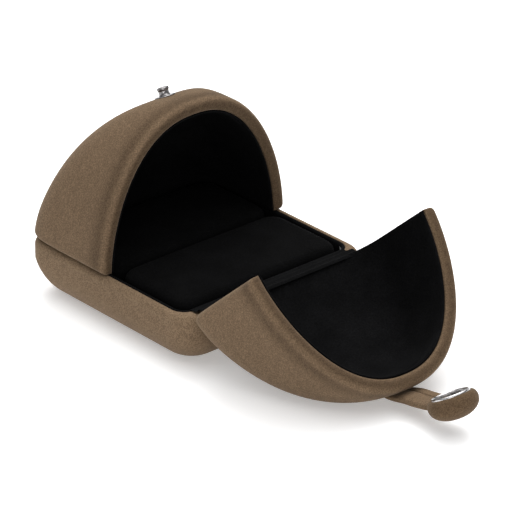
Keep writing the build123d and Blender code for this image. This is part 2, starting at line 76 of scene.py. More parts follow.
# ---- mesh tools --------------------------------------------------------------------
def mesh_object(name, verts, faces, material, edge=None):
    """A smooth-shaded object from millimetre points, with how far each is darkened at an edge by
    painted shade.
    """
    mesh = bpy.data.meshes.new(name)
    mesh.from_pydata([tuple(v) for v in np.asarray(verts) / 1000.0], [], faces)
    mesh.update()
    values = np.zeros(len(verts), np.float32) if edge is None else np.asarray(edge, np.float32)
    mesh.attributes.new("edge", "FLOAT", "POINT").data.foreach_set("value", values)
    obj = bpy.data.objects.new(name, mesh)
    bpy.context.scene.collection.objects.link(obj)
    bm = bmesh.new()
    bm.from_mesh(mesh)
    bmesh.ops.remove_doubles(bm, verts=bm.verts, dist=1e-6)
    bmesh.ops.dissolve_degenerate(bm, edges=bm.edges, dist=1e-6)
    bmesh.ops.recalc_face_normals(bm, faces=bm.faces)
    bm.to_mesh(mesh)
    bm.free()
    mesh.polygons.foreach_set("use_smooth", [True] * len(mesh.polygons))
    mesh.materials.append(material)
    mesh.update()
    return obj


def grid_faces(n, m, wrap=False):
    """Quads over n rows of m points, joined round each row if wrap."""
    faces = []
    columns = m if wrap else m - 1
    for i in range(n - 1):
        for j in range(columns):
            k = (j + 1) % m
            faces.append((i * m + j, i * m + k, (i + 1) * m + k, (i + 1) * m + j))
    return faces


def rounded_loop(half_x, half_y, radius, corner=14, side=14):
    """Points round a rounded rectangle, always the same number in the same order."""
    radius = max(min(radius, half_x, half_y), 1e-4)
    cx = max(half_x - radius, 0.0)
    cy = max(half_y - radius, 0.0)
    signs = ((1, 1), (-1, 1), (-1, -1), (1, -1))
    points = []
    for k, (sx, sy) in enumerate(signs):
        for i in range(corner + 1):
            a = math.radians(90 * (k + i / corner))
            points.append((sx * cx + radius * math.cos(a), sy * cy + radius * math.sin(a)))
        nx, ny = signs[(k + 1) % 4]
        a = math.radians(90 * (k + 1))
        start = points[-1]
        end = (nx * cx + radius * math.cos(a), ny * cy + radius * math.sin(a))
        for i in range(1, side):
            t = i / side
            points.append((start[0] + (end[0] - start[0]) * t, start[1] + (end[1] - start[1]) * t))
    return np.array(points)


def quarter_round(radius, step):
    """The radius less its sine and less its cosine part, every step degrees of a quarter turn."""
    angles = [math.radians(a) for a in range(0, 91, step)]
    return [(radius * (1 - math.sin(a)), radius * (1 - math.cos(a))) for a in angles]


def loops_object(name, loops, material, cap_last=False):
    """A skin through loops of the same number of points, closed at its last loop if cap_last."""
    m = len(loops[0])
    verts = np.concatenate(loops)
    faces = grid_faces(len(loops), m, wrap=True)
    if cap_last:
        faces.append(tuple(range((len(loops) - 1) * m, len(loops) * m)))
    return mesh_object(name, verts, faces, material)


def smooth_line(points, n):
    """n points along a smooth curve through the given ones, evenly from point to point."""
    p = np.asarray(points, float)
    p = np.vstack([2 * p[0] - p[1], p, 2 * p[-1] - p[-2]])
    out = []
    for t in np.linspace(0, len(points) - 1, n):
        i = min(int(t), len(points) - 2)
        u = t - i
        a, b, c, d = p[i], p[i + 1], p[i + 2], p[i + 3]
        out.append(
            0.5 * (2 * b + (c - a) * u + (2 * a - 5 * b + 4 * c - d) * u**2
                   + (3 * b - a - 3 * c + d) * u**3)
        )
    return np.array(out)


# ---- materials ---------------------------------------------------------------------
def grey(value):
    """The same value in red, green and blue."""
    return (value, value, value)


def set_inputs(target, values):
    """Sets named sockets of a node to plain values."""
    for key, value in values.items():
        target.inputs[key].default_value = value


def noise(tree, vector, scale, detail, roughness):
    """The value of a noise over a vector."""
    n = tree.nodes.new("ShaderNodeTexNoise")
    set_inputs(n, {"Scale": scale, "Detail": detail, "Roughness": roughness})
    tree.links.new(vector, n.inputs["Vector"])
    return n.outputs["Fac"]


def ramp(tree, factor, stops):
    """A colour ramp through (position, colour) stops."""
    n = tree.nodes.new("ShaderNodeValToRGB")
    element = n.color_ramp.elements
    element[0].position, element[0].color = stops[0][0], (*stops[0][1], 1)
    element[1].position, element[1].color = stops[-1][0], (*stops[-1][1], 1)
    for position, colour in stops[1:-1]:
        e = element.new(position)
        e.color = (*colour, 1)
    tree.links.new(factor, n.inputs["Fac"])
    return n.outputs["Color"]


def multiply(tree, first, second):
    """One colour times another."""
    n = tree.nodes.new("ShaderNodeMix")
    n.data_type = "RGBA"
    n.blend_type = "MULTIPLY"
    n.inputs[0].default_value = 1.0
    tree.links.new(first, n.inputs[6])
    tree.links.new(second, n.inputs[7])
    return n.outputs[2]


def bump(tree, height, strength, distance, normal=None):
    """A normal bent by a height, over another normal if one is given."""
    n = tree.nodes.new("ShaderNodeBump")
    set_inputs(n, {"Strength": strength, "Distance": distance})
    tree.links.new(height, n.inputs["Height"])
    if normal is not None:
        tree.links.new(normal, n.inputs["Normal"])
    return n.outputs["Normal"]


def new_material(name):
    """A material with its node tree, its shader and the object's own coordinates."""
    m = bpy.data.materials.new(name)
    m.use_nodes = True
    tree = m.node_tree
    shader = tree.nodes["Principled BSDF"]
    where = tree.nodes.new("ShaderNodeTexCoord").outputs["Object"]
    return m, tree, shader, where


SUEDE_FINISH = {
    "Roughness": 0.95,
    "Specular IOR Level": 0.12,
    "Sheen Weight": 0.12,
    "Sheen Roughness": 0.4,
    "Sheen Tint": (1.0, 0.82, 0.62, 1),
}
VELVET_FINISH = {
    "Roughness": 1.0,
    "Specular IOR Level": 0.05,
    "Sheen Roughness": 0.35,
    "Sheen Tint": (0.55, 0.55, 0.56, 1),
}
# tones that the base colour is multiplied by, over the value of a noise or of the edge; the edge tones
# are painted shade
NAP_TONES = [(0.36, (0.91, 0.905, 0.90)), (0.64, grey(1.06))]
GRAIN_TONES = [(0.4, (0.74, 0.73, 0.72)), (0.62, grey(1.24))]
PAINTED_SHADE_TONES = [(0.0, grey(1)), (0.5, (0.64, 0.62, 0.60)), (1.0, (0.22, 0.20, 0.18))]
PILE_TONES = [(0.35, grey(0.6)), (0.7, grey(1.5))]


def suede_material(name, low, high):
    """Brushed microsuede: an even tone, fine speckled nap, and painted shade along its edges."""
    m, tree, shader, where = new_material(name)
    cloud = noise(tree, where, scale=38.0, detail=3.0, roughness=0.6)
    nap = noise(tree, where, scale=520.0, detail=5.0, roughness=0.7)
    grain = noise(tree, where, scale=2300.0, detail=2.0, roughness=0.7)
    colour = ramp(tree, cloud, [(0.3, low), (0.7, high)])
    colour = multiply(tree, colour, ramp(tree, nap, NAP_TONES))
    colour = multiply(tree, colour, ramp(tree, grain, GRAIN_TONES))
    # painted shade: the edge attribute darkens the rim's creases and face and the strap's groove
    painted_shade = tree.nodes.new("ShaderNodeAttribute")
    painted_shade.attribute_name = "edge"
    colour = multiply(tree, colour, ramp(tree, painted_shade.outputs["Fac"], PAINTED_SHADE_TONES))
    tree.links.new(colour, shader.inputs["Base Color"])
    set_inputs(shader, SUEDE_FINISH)
    coarse = bump(tree, nap, strength=0.3, distance=0.0003)
    fine = bump(tree, grain, strength=0.5, distance=0.0002, normal=coarse)
    tree.links.new(fine, shader.inputs["Normal"])
    return m


def velvet_material(name, colour, sheen):
    """Short black pile: nearly no gloss, a faint grey bloom at grazing angles."""
    m, tree, shader, where = new_material(name)
    cloud = noise(tree, where, scale=90.0, detail=4.0, roughness=0.6)
    pile = noise(tree, where, scale=1900.0, detail=3.0, roughness=0.6)
    low = tuple(0.7 * c for c in colour)
    high = tuple(1.5 * c for c in colour)
    base = ramp(tree, cloud, [(0.3, low), (0.7, high)])
    piled = multiply(tree, base, ramp(tree, pile, PILE_TONES))
    tree.links.new(piled, shader.inputs["Base Color"])
    set_inputs(shader, VELVET_FINISH)
    shader.inputs["Sheen Weight"].default_value = sheen
    tree.links.new(bump(tree, pile, strength=0.4, distance=0.0003), shader.inputs["Normal"])
    return m


def metal_material(name, low, high, roughness, scale, relief):
    """Plated or bare metal with fine marks in its polish; roughness is a range."""
    m, tree, shader, where = new_material(name)
    marks = noise(tree, where, scale, detail=4.0, roughness=0.6)
    tree.links.new(ramp(tree, marks, [(0.35, low), (0.65, high)]), shader.inputs["Base Color"])
    rough = tree.nodes.new("ShaderNodeMapRange")
    set_inputs(rough, {"To Min": roughness[0], "To Max": roughness[1]})
    tree.links.new(marks, rough.inputs["Value"])
    tree.links.new(rough.outputs["Result"], shader.inputs["Roughness"])
    shader.inputs["Metallic"].default_value = 1.0
    tree.links.new(bump(tree, marks, relief, distance=0.0001), shader.inputs["Normal"])
    return m


def plain_material(name, low, high, scale, roughness):
    """Plastic, board or sheet with a little mottling."""
    m, tree, shader, where = new_material(name)
    cloud = noise(tree, where, scale, detail=4.0, roughness=0.6)
    tree.links.new(ramp(tree, cloud, [(0.3, low), (0.7, high)]), shader.inputs["Base Color"])
    shader.inputs["Roughness"].default_value = roughness
    tree.links.new(bump(tree, cloud, strength=0.2, distance=0.0002), shader.inputs["Normal"])
    return m


suede = suede_material("suede", low=(0.128, 0.086, 0.052), high=(0.150, 0.101, 0.061))
# painted light: a lighter copy of the door suede, for the light the floor throws onto the base
lit_base_cloth = suede_material("base_suede", low=(0.156, 0.107, 0.066), high=(0.180, 0.124, 0.077))
# painted shade: a darker copy of the door suede, for the cap that faces the floor
shaded_cap_cloth = suede_material("cap_suede", low=(0.090, 0.058, 0.033), high=(0.108, 0.070, 0.040))
velvet = velvet_material("velvet", colour=(0.0030, 0.0030, 0.0032), sheen=0.010)
# painted shade: a darker copy of the lining velvet, for the pads
shaded_pad_velvet = velvet_material("shaded_pad_velvet", colour=(0.0019, 0.0019, 0.0020), sheen=0.006)
shell_plastic = plain_material(
    "shell_plastic", low=grey(0.02), high=grey(0.035), scale=300.0, roughness=0.6)
bottom_sheet = plain_material(
    "bottom_sheet", low=(0.14, 0.10, 0.065), high=(0.20, 0.145, 0.095), scale=700.0, roughness=0.9)
board = plain_material("board", low=grey(0.012), high=grey(0.022), scale=500.0, roughness=0.9)
hinge_steel = metal_material(
    "hinge_steel", low=(0.20, 0.19, 0.19), high=(0.31, 0.30, 0.30),
    roughness=(0.3, 0.45), scale=900.0, relief=0.1)
snap_metal = metal_material(
    "snap_metal", low=(0.52, 0.51, 0.51), high=(0.70, 0.69, 0.69),
    roughness=(0.12, 0.25), scale=1500.0, relief=0.2)
stippled_metal = metal_material(
    "stippled_metal", low=(0.07, 0.065, 0.06), high=(0.34, 0.33, 0.33),
    roughness=(0.35, 0.6), scale=1500.0, relief=1.0)
stud_metal = metal_material(
    "stud_metal", low=(0.13, 0.12, 0.12), high=(0.32, 0.31, 0.31),
    roughness=(0.12, 0.3), scale=1300.0, relief=0.5)
# painted shade: dark metal for the shade inside the socket's holes
dent_shade_metal = metal_material(
    "dent_shade_metal", low=grey(0.10), high=grey(0.2), roughness=(0.4, 0.6), scale=900.0, relief=0.3)

# ---- looks of the frame's own pieces -----------------------------------------------
CAD_LOOKS = {
    "base_core": shell_plastic,
    "rear_door_core": shell_plastic,
    "front_door_core": shell_plastic,
    "cap_button": shell_plastic,
    "base_bottom_sheet": bottom_sheet,
    "pad_board": board,
    "snap_stud": stud_metal,
    "snap_stud_washer": snap_metal,
    "snap_socket": snap_metal,
    "snap_socket_spring": snap_metal,
}
for name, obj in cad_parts.items():
    look = CAD_LOOKS.get(name)
    if look is None and "hinge" in name and "lining" not in name:
        look = hinge_steel
    if look is not None:
        obj.data.materials.clear()
        obj.data.materials.append(look)


# ---- placing pieces of the two doors -----------------------------------------------
def rear_place(points):
    """From a dome's own frame (rim at y = 0, feet at z = 0) to the shut rear door."""
    return np.asarray(points, float) + np.array([0.0, DOOR_Y, FOOT_Z])


def open_front(points):
    """From the shut front door to where it lies open."""
    p = np.asarray(points, float)
    a = math.radians(OPEN_ANGLE)
    y = p[..., 1] + HINGE_Y
    z = p[..., 2] - HINGE_Z
    out = np.empty_like(p)
    out[..., 0] = p[..., 0]
    out[..., 1] = y * math.cos(a) - z * math.sin(a) - HINGE_Y
    out[..., 2] = y * math.sin(a) + z * math.cos(a) + HINGE_Z
    return out


def front_place(points):
    """From a dome's own frame to the open front door."""
    p = rear_place(points)
    p[..., 1] *= -1
    return open_front(p)


# ---- dome skins --------------------------------------------------------------------
def dome_height(y):
    """Height of the dome over its middle line, y from the rim."""
    depth, height = DOME[1:]
    level = (abs(y) / depth) ** CROWN_POWER
    return height * max(0.0, 1 - level ** (ARCH_POWER / CROWN_POWER)) ** (1 / SIDE_POWER)


def dome_skin(columns, rows, foot, foot_gain):
    """A skin over a half dome.

    columns: places across, -1 to 1 over the dome and beyond that round its feet.
    rows: (v, y, draw) from the rim to the back. v is 0 at the rim, 1 at the back and more
        under it; y is given for the rim's own rows; draw is how far the skin lies inward.
    foot(share, draw) -> (inward, height) of the edge under the feet, share from 0 to 1.
    foot_gain: how much squarer the plan is right at the feet.
    """
    span = max(columns) - 1
    grid = np.zeros((len(rows), len(columns), 3))
    for j, (v, y_rim, draw) in enumerate(rows):
        a, b, h = (value - draw for value in DOME)
        foot_top = foot(0.0, draw)[1]
        reach = (1 - (foot_top / h) ** SIDE_POWER) ** (1 / ARCH_POWER)
        for i, u in enumerate(columns):
            r = max(abs(u), v, 1e-9)
            inside = min(r, 1.0)
            pu, pv = u / r, v / r
            power = CROWN_POWER + SIDE_GAIN * inside**2 + foot_gain * inside**20
            norm = max((abs(pu) ** power + pv**power) ** (1 / power), 1e-9)
            pu, pv = pu / norm, pv / norm
            level = inside * reach
            x, y = a * pu * level, b * pv * level
            z = h * (1 - level**ARCH_POWER) ** (1 / SIDE_POWER)
            if r > 1:
                nx = np.sign(pu) * abs(pu) ** (power - 1) / a
                ny = pv ** (power - 1) / b
                size = max(math.hypot(nx, ny), 1e-9)
                inward, z = foot((r - 1) / span, draw)
                x -= inward * nx / size
                y -= inward * ny / size
            if y_rim is not None:
                y = y_rim
            grid[j, i] = (x, y, z)
    return grid


# places beyond 1, which lie on the edge under the feet
UNDER_FEET = [1 + 0.02 * k for k in range(1, 15)]
COLUMNS_PER_SIDE = 40
SUEDE_ROWS = 36
VELVET_ROWS = 30


def dome_columns():
    """Places across a dome and round both of its feet, closer together towards them."""
    side = range(-COLUMNS_PER_SIDE, COLUMNS_PER_SIDE + 1)
    across = [math.sin(math.radians(90 * k / COLUMNS_PER_SIDE)) for k in side]
    return [-place for place in reversed(UNDER_FEET)] + across + UNDER_FEET


def dome_rows(rim, inset, count):
    """Rows over the rim, given as (y, draw), then back to the end of the dome and under it."""
    start = rim[-1][0] / (DOME[1] - inset)
    back = [start + (1 - start) * math.sin(math.radians(90 * k / count)) for k in range(1, count + 1)]
    rows = [(0.0, y, draw) for y, draw in rim]
    return rows + [(v, None, inset) for v in back + UNDER_FEET]


# the suede's rolled rim as (y, draw), from the lining outward
SUEDE_RIM = [
    (2.6, 4.45), (1.5, 4.42), (0.85, 4.28), (0.45, 4.0), (0.2, 3.6), (0.05, 3.05), (0.0, 2.45),
    (0.0, 1.9), (0.04, 1.45), (0.17, 1.02), (0.42, 0.65), (0.8, 0.35), (1.3, 0.14), (1.9, 0.03),
    (2.6, 0.0),
]
RIM_DEPTH = 4.45
RIM_MIDDLE = 2.2
# painted shade: how far each row is darkened, at the crease at the lining, the rim's face and the
# crease outside it
RIM_SHADE = [0.8, 0.45, 0.1, 0.15, 0.35, 0.5, 0.55, 0.55, 0.4, 0.2, 0.0, -0.1, 0.0, 0.2, 0.42,
             0.5, 0.3, 0.12]
FOOT_ROUND = 2.4
FOOT_ROUND_LEAST = 0.01
FOOT_WIDTH_LEAST = 0.02


def suede_foot(share, draw):
    """The suede's edge under the feet: a round, then a flat as wide as the rim is there.

    It is lifted most at the middle of the rim, which stands furthest forward, so that the
    corner there is a ball and not an edge.
    """
    if draw < RIM_MIDDLE:
        out = draw / RIM_MIDDLE
        width = RIM_DEPTH * (1 - out)
    else:
        out = min((RIM_DEPTH - draw) / (RIM_DEPTH - RIM_MIDDLE), 1.0)
        width = FOOT_WIDTH_LEAST
    lift = FOOT_ROUND * (1 - math.sqrt(max(1 - out * out, 0.0)))
    radius = min(FOOT_ROUND * (1 - out) + FOOT_ROUND_LEAST, width / 2)
    if share <= 0.5:
        a = math.radians(180 * share)
        return radius * (1 - math.cos(a)), lift + radius * (1 - math.sin(a))
    return radius + (width - radius) * (share - 0.5) / 0.5, lift


# the lining's edge as (y, draw): forward from the crease, round its roll and back inside
VELVET_RIM = [
    (3.0, 4.3), (1.6, 4.36), (1.0, 4.46), (0.72, 4.66), (0.7, 4.92), (0.95, 5.16), (1.5, 5.32),
    (2.3, 5.32), (3.4, 5.15), (5.0, 4.95), (7.0, 4.9),
]
VELVET_INSET = 4.9
VELVET_OUTSIDE = 4.3
ROLL_ROOM_LEAST = 0.05
ROLL_SHARE = 0.75
ROLL_TOP = 1.1
ROLL_DEPTH = 1.0


def velvet_foot(share, draw):
    """The lining's lower edge: it comes down, rolls outward and tucks under the suede."""
    room = max(draw - VELVET_OUTSIDE, ROLL_ROOM_LEAST)
    a = math.radians(180 * min(share / ROLL_SHARE, 1.0))
    outward = room / 2 * (1 - math.cos(a))
    height = ROLL_TOP - ROLL_DEPTH * math.sin(a)
    if share > ROLL_SHARE:
        height += (share - ROLL_SHARE) / (1 - ROLL_SHARE) * ROLL_DEPTH
    return -outward, height


def door_piece(name, grid, place, material, body, replaced, edge=None):
    """One skin of a door, from its grid to its place on the body."""
    n, m = grid.shape[:2]
    obj = mesh_object(name, place(grid.reshape(-1, 3)), grid_faces(n, m), material, edge)
    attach(obj, body)
    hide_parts(replaced)


suede_rows = dome_rows(SUEDE_RIM, 0.0, SUEDE_ROWS)
velvet_rows = dome_rows(VELVET_RIM, VELVET_INSET, VELVET_ROWS)
suede_grid = dome_skin(dome_columns(), suede_rows, suede_foot, FOOT_GAIN)
velvet_grid = dome_skin(dome_columns(), velvet_rows, velvet_foot, 0.0)
# painted shade on the rows of the suede's rim and just outside it, none further back
row_shade = RIM_SHADE + [0.0] * (len(suede_rows) - len(RIM_SHADE))
suede_painted_shade = np.repeat(row_shade, suede_grid.shape[1])
door_piece("rear_door_suede", suede_grid, rear_place, suede, "rear_door",
           "rear_door_suede_cover", suede_painted_shade)
door_piece("front_door_suede", suede_grid, front_place, suede, "front_door",
           "front_door_suede_cover", suede_painted_shade)
door_piece("rear_door_velvet", velvet_grid, rear_place, velvet, "rear_door",
           "rear_door_liner")
door_piece("front_door_velvet", velvet_grid, front_place, velvet, "front_door",
           "front_door_liner")

# ---- base --------------------------------------------------------------------------
# profiles as (inset, height): the suede's turned-in edge below, its edge inside the tray, and
# the velvet from behind its rolled lip down to the floor of the tray
BASE_UNDERSIDE = [(13.15, 0.8), (13.1, 0.15), (12.9, 0.0)]
TRAY_EDGE = [(-0.15, BASE_HEIGHT - 0.02), (0.1, BASE_HEIGHT - 0.2), (0.2, BASE_HEIGHT - 1.4)]
TRAY_LINING = [(0.12, 17.4), (0.14, 18.5), (0.3, 18.86), (0.62, 19.02), (0.98, 18.9),
               (1.25, 18.55), (1.4, 18.0), (1.45, 16.0), (1.45, 6.0), (1.6, 5.6), (4.0, 5.45)]
BASE_CORNER_LEAST = 0.5
BASE_CORNER_BLEND = 1.5


def level_loop(plan, z):
    """A plan's points at one height."""
    return np.column_stack([plan, np.full(len(plan), z)])


def base_loop(inset, z):
    """A loop of the base's outside, rounder in plan towards the bottom."""
    share = min(z / BASE_BOTTOM_ROUND, 1.0)
    corner = BASE_CORNER[0] + (BASE_CORNER[1] - BASE_CORNER[0]) * share**BASE_CORNER_BLEND
    radius = max(corner - inset, BASE_CORNER_LEAST)
    return level_loop(rounded_loop(BASE_HALF[0] - inset, BASE_HALF[1] - inset, radius), z)


def pocket_loop(inset, z):
    """A loop of the tray's wall."""
    radius = POCKET_CORNER - inset
    return level_loop(rounded_loop(POCKET_HALF[0] - inset, POCKET_HALF[1] - inset, radius), z)


base_profile = BASE_UNDERSIDE + quarter_round(BASE_BOTTOM_ROUND, 6)
base_profile += [(inset, BASE_HEIGHT - drop) for drop, inset in quarter_round(BASE_TOP_ROUND, 9)]
base_loops = [base_loop(inset, z) for inset, z in base_profile]
base_loops += [pocket_loop(inset, z) for inset, z in TRAY_EDGE]
base_suede = loops_object("base_suede", base_loops, lit_base_cloth)
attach(base_suede, "base")
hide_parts("base_suede_cover")

tray_loops = [pocket_loop(inset, z) for inset, z in TRAY_LINING]
base_velvet = loops_object("base_velvet", tray_loops, velvet, cap_last=True)
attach(base_velvet, "base")
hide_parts("base_liner")

# ---- ring pads ---------------------------------------------------------------------
PAD_HALF = (32.5, 15.9)
PAD_MIDDLE = 16.38
PAD_TOP = 20.7
PAD_LOW = 6.75
PAD_CORNER = 5.0
PAD_CORNER_LOSS = 0.3
PAD_EDGE_ROUND = 2.6
# how far the middle stands over the edge, and the share of it lost towards ends and sides
PAD_SWELL = 0.6
SWELL_LOSS = (0.7, 0.5)
# the side's inset at its top and bottom, and how much more of it in the middle
SIDE_INSET = 0.3
SIDE_WAIST = 0.2
# height of the pad that its foot and its rounded top take from the side
SIDE_LESS = 4.6
# the foot as (inset, rise), and the insets of the loops over the top
FOOT_RISE = 1.0
PAD_FOOT = [(1.2, 0.0), (0.5, 0.15), (0.25, FOOT_RISE)]
PAD_RINGS = (4.2, 6, 8, 10.5, 13, 15.0, 15.8999)


def pad_loop(side, inset, height, swell):
    """A loop round a pad, raised by the swell of its middle."""
    p = rounded_loop(PAD_HALF[0] - inset, PAD_HALF[1] - inset, PAD_CORNER - PAD_CORNER_LOSS * inset)
    along = 1 - SWELL_LOSS[0] * (p[:, 0] / PAD_HALF[0]) ** 2
    across = 1 - SWELL_LOSS[1] * (p[:, 1] / PAD_HALF[1]) ** 2
    return np.column_stack([p[:, 0], side * PAD_MIDDLE + p[:, 1], height + swell * along * across])


def pad_object(name, side, replaced):
    """A foam pad in velvet, rounded at its edges and a little fuller in the middle."""
    loops = [pad_loop(side, inset, PAD_LOW + rise, 0) for inset, rise in PAD_FOOT]
    for share in (0.25, 0.5, 0.75):
        inset = SIDE_INSET + SIDE_WAIST * math.sin(math.pi * share)
        height = PAD_LOW + FOOT_RISE + share * (PAD_TOP - PAD_LOW - SIDE_LESS)
        loops.append(pad_loop(side, inset, height, 0))
    top = PAD_TOP - PAD_SWELL
    for degrees in range(0, 91, 9):
        c, s = math.cos(math.radians(degrees)), math.sin(math.radians(degrees))
        inset = SIDE_INSET + PAD_EDGE_ROUND * (1 - c)
        loops.append(pad_loop(side, inset, top - PAD_EDGE_ROUND * (1 - s), PAD_SWELL * s**3))
    loops += [pad_loop(side, inset, top, PAD_SWELL) for inset in PAD_RINGS]
    obj = loops_object(name, loops, shaded_pad_velvet)
    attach(obj, "base")
    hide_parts(replaced)


pad_object("front_pad", -1, "ring_pad_front")
pad_object("rear_pad", 1, "ring_pad_rear")

# ---- hinge linings -----------------------------------------------------------------
LINING_HALF = 31.5
LINING_COLUMNS = 41
# (along, up, turn) about the hinge, from the base's wall round the hinge to the open door
FRONT_LINING = [
    (5.6, -0.9, 0), (5.3, -0.25, 0), (4.4, 0.02, 0), (3.0, 0.1, 0), (1.85, 0.25, 12),
    (1.85, 0, 69), (1.85, -0.3, 126), (3.0, -0.15, OPEN_ANGLE), (4.4, -0.05, OPEN_ANGLE),
    (5.2, 0.3, OPEN_ANGLE), (5.5, 1.2, OPEN_ANGLE),
]
# half of the folded lining's height, and the (along, up) points of the fold
FOLD_HALF = 0.09
REAR_LINING = [
    (-5.6, -0.9), (-5.3, -0.35), (-4.6, -FOLD_HALF), (-3.6, -FOLD_HALF), (-2.6, -FOLD_HALF),
    (-1.9, -FOLD_HALF * 0.8), (-1.75, 0), (-1.9, FOLD_HALF * 0.8), (-2.6, FOLD_HALF),
    (-3.6, FOLD_HALF), (-4.4, FOLD_HALF), (-5.1, 0.4), (-5.4, 1.2),
]
FOLD_MIDDLE = BASE_HEIGHT + 0.15


def lining_mesh(name, line, y_hinge, z_hinge):
    """A thin velvet strip along the hinge, through the points of a line about it."""
    xs = np.linspace(-LINING_HALF, LINING_HALF, LINING_COLUMNS)
    verts = [(x, y + y_hinge, z + z_hinge) for y, z in line for x in xs]
    return mesh_object(name, verts, grid_faces(len(line), len(xs)), velvet)


def front_lining():
    """The strip across the open hinge, which bends between the base and the door."""
    points = []
    for along, up, turned in FRONT_LINING:
        c, s = math.cos(math.radians(turned)), math.sin(math.radians(turned))
        points.append((along * c - up * s, along * s + up * c))
    obj = lining_mesh("front_lining", smooth_line(points, 25), -HINGE_Y, HINGE_Z)
    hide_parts("front_hinge_lining")
    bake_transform(obj)


def rear_lining():
    """The strip across the shut hinge, folded flat between the base and the door."""
    obj = lining_mesh("rear_lining", smooth_line(REAR_LINING, 37), HINGE_Y, FOLD_MIDDLE)
    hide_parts("rear_hinge_lining")
    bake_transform(obj)


front_lining()
rear_lining()

# ---- strap and press stud ----------------------------------------------------------
STUD_REACH = 14.8
STRAP_LIFT = 38.0
PIVOT_Z = FOOT_Z + 47.8
# heights of the strap's inner and outer face over the stud's seat
STRAP_FACE = 1.25
STRAP_BACK = 4.05
STRAP_HALF = 5.0
STRAP_SECTIONS = 91
# power that makes the strap's section squarer than an ellipse
SECTION_POWER = 0.62
# the root of the strap: its inner edge as (y, z), its thickness and its slope
ROOT_INNER = [(-10.4, 64.9), (-8.4, 65.95), (-5.6, 66.95), (-2.0, 68.55), (2.0, 71.1)]
ROOT_THICK = [0.7, 1.5, 2.4, 2.8, 2.8]
ROOT_SLOPE = [24, 22, 22, 29, 33]
# places along the strap from the stud's axis
STRAP_ALONG = (-6.6, -3.5, 0.0, 3.0, 4.9)
BEND_START = (0.0, -7.0, 67.0)
BEND_END = (0.0, 5.0, 73.5)
# degrees past the middle of the inner face where the lap needs more points
LAP_DEGREES = (1.2, 1.8, 2.4, 3.2, 4.2, 6.2, 7.2, 8.2)
# the lap: where it starts across the strap, how soft its step is, its height and its fading
LAP_X = 0.9
LAP_SOFTNESS = 0.09
LAP_HEIGHT = 0.4
LAP_FADE_X = 3.2
LAP_FADE = 1.8
# the groove beside the lap, which is also darkened with painted shade
GROOVE_X = 1.15
GROOVE_WIDTH = 0.42
GROOVE_DEPTH = 0.7
HALF_THICK_LEAST = 0.5
END_LEAST = 0.05
# distance over which the dome's slope under the stud is taken
SLOPE_STEP = 0.01
seat_height = dome_height(STUD_REACH - DOOR_Y)
fall = seat_height - dome_height(STUD_REACH - DOOR_Y + SLOPE_STEP)
STUD_TILT = math.atan2(fall, SLOPE_STEP)
STUD_Z = FOOT_Z + seat_height


def stud_point(along, height):
    """(y, z) over the stud's seat with both doors shut."""
    c, s = math.cos(STUD_TILT), math.sin(STUD_TILT)
    return (STUD_REACH + along * c + height * s, STUD_Z - along * s + height * c)


def lifted(point):
    """A strap point raised about the strap's root, as it stands at rest."""
    a = math.radians(STRAP_LIFT)
    y, z = point[0], point[1] - PIVOT_Z
    return (y * math.cos(a) - z * math.sin(a), y * math.sin(a) + z * math.cos(a) + PIVOT_Z)


def strap_stations():
    """Inner and outer edge of the strap's middle section, from its root to its end."""
    inner = list(ROOT_INNER)
    outer = [
        (y - t * math.sin(math.radians(a)), z + t * math.cos(math.radians(a)))
        for (y, z), t, a in zip(ROOT_INNER, ROOT_THICK, ROOT_SLOPE)
    ]
    for along in STRAP_ALONG:
        inner.append(lifted(stud_point(along, STRAP_FACE)))
        outer.append(lifted(stud_point(along, STRAP_BACK)))
    return smooth_line(inner, STRAP_SECTIONS), smooth_line(outer, STRAP_SECTIONS)


def strap_object():
    """The strap: suede wrapped round a core, one edge lapped over the other on its inner face."""
    inner, outer = strap_stations()
    centre = (inner + outer) / 2
    middle = (STRAP_FACE + STRAP_BACK) / 2
    axis = np.array(lifted(stud_point(0, middle)))
    direction = np.array(lifted(stud_point(1, middle))) - axis
    angles = sorted(set([5.0 * i for i in range(72)] + [270 + d for d in LAP_DEGREES]))
    loops = []
    edge = []
    for k in range(len(inner)):
        # past the stud's axis the strap ends in a half round
        along = float((centre[k] - axis) @ direction)
        half = STRAP_HALF
        if along > 0:
            half = math.sqrt(max(STRAP_HALF**2 - along**2, END_LEAST))
        thick = (outer[k] - inner[k]) / 2
        size = max(float(np.linalg.norm(thick)), HALF_THICK_LEAST)
        loop = []
        for degrees in angles:
            c, s = math.cos(math.radians(degrees)), math.sin(math.radians(degrees))
            x = half * np.sign(c) * abs(c) ** SECTION_POWER
            t = np.sign(s) * abs(s) ** SECTION_POWER
            groove = 0.0
            if s < 0:
                lap = 1 / (1 + math.exp(-(x - LAP_X) / LAP_SOFTNESS))
                lap *= 1 - max(x - LAP_FADE_X, 0) / LAP_FADE
                groove = math.exp(-(((x - GROOVE_X) / GROOVE_WIDTH) ** 2))
                t += (LAP_HEIGHT * lap + GROOVE_DEPTH * groove) / size
            y, z = centre[k] + t * thick
            loop.append((x, y, z))
            # the groove's value darkens the suede there: painted shade
            edge.append(groove)
        loops.append(np.array(loop))
    count = len(angles)
    faces = grid_faces(len(loops), count, wrap=True)
    faces.append(tuple(range(count)))
    faces.append(tuple(range((len(loops) - 1) * count, len(loops) * count)))
    obj = mesh_object("strap", open_front(np.concatenate(loops)), faces, suede, edge)
    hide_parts("strap_root", "strap_tongue")
    start = open_front(np.array(BEND_START)) / 1000
    stop = open_front(np.array(BEND_END)) / 1000
    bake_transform(obj)


